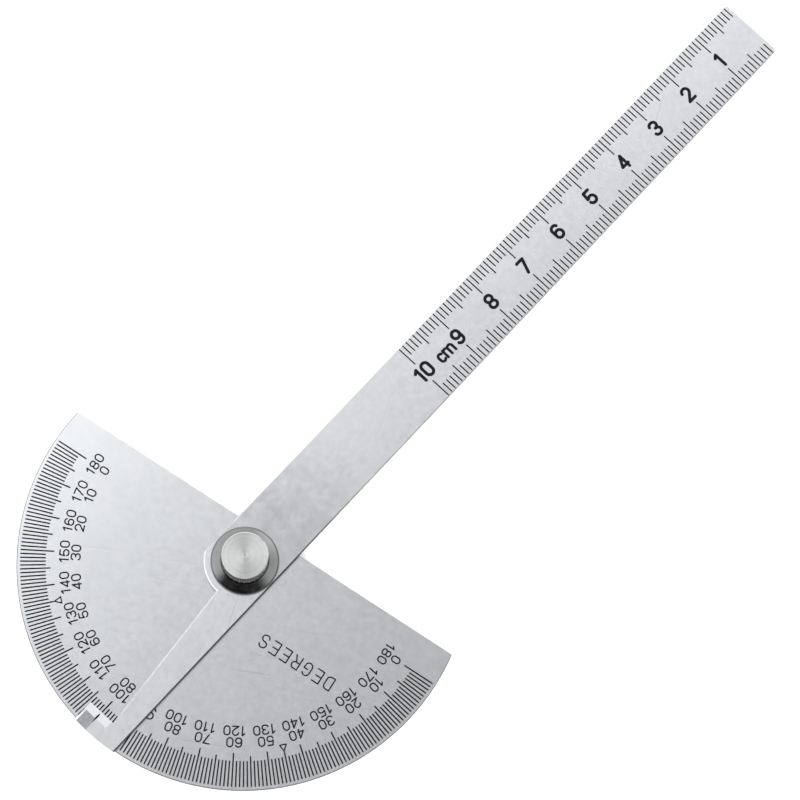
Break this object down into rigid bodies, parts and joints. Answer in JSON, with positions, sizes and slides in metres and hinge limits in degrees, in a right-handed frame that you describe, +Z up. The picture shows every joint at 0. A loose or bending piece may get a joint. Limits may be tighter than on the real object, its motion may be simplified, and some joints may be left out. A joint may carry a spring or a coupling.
{
  "type": "protractor",
  "caption": "Semicircular steel degree plate with a swinging combined pointer and centimetre rule, clamped by a knurled thumb nut on a keyed pivot stud.",
  "frame": {"origin": "on the pivot axis, at the rear face of the clamp stud's head, the lowest face", "axes": "+Z up the pivot towards the thumb nut, +Y towards the 90 degree mark, +X towards the 180 degree end of the outer scale"},
  "size_m": [0.0892, 0.1957, 0.0115],
  "materials": {
    "plate_steel": "satin rolled stainless steel",
    "blade_steel": "satin rolled stainless steel",
    "black_filling": "black baked enamel in etched recesses",
    "stud_steel": "turned steel",
    "washer_steel": "stamped steel",
    "nickel_plate": "bright nickel over turned brass"
  },
  "bodies": {
    "plate": {"degree_plate": "plate_steel", "degree_marks": "black_filling", "outer_numerals": "black_filling", "inner_numerals": "black_filling", "top_numeral": "black_filling", "angle_markers": "black_filling", "title_word": "black_filling", "clamp_stud": "stud_steel", "pivot_washer": "washer_steel"},
    "blade": {"blade": "blade_steel", "rule_marks": "black_filling", "rule_numerals": "black_filling", "rule_unit": "black_filling", "index_mark": "black_filling"},
    "washer": {"nut_washer": "washer_steel"},
    "nut": {"thumb_nut": "nickel_plate"}
  },
  "joints": [
    {"name": "blade_swing", "type": "hinge", "parent": "plate", "child": "blade", "pos_m": [0, 0, 0.0025], "axis": [0, 0, 1], "continuous": true},
    {"name": "nut_lift", "type": "slide", "parent": "plate", "child": "washer", "axis": [0, 0, 1], "range_m": [0, 0.0035]},
    {"name": "nut_turn", "type": "hinge", "parent": "washer", "child": "nut", "pos_m": [0, 0, 0.006], "axis": [0, 0, 1], "range_deg": [0, 1800]}
  ],
  "couplings": [
    {"joint": "nut_turn", "follows": "nut_lift", "rad_per_m": 8976}
  ]
}
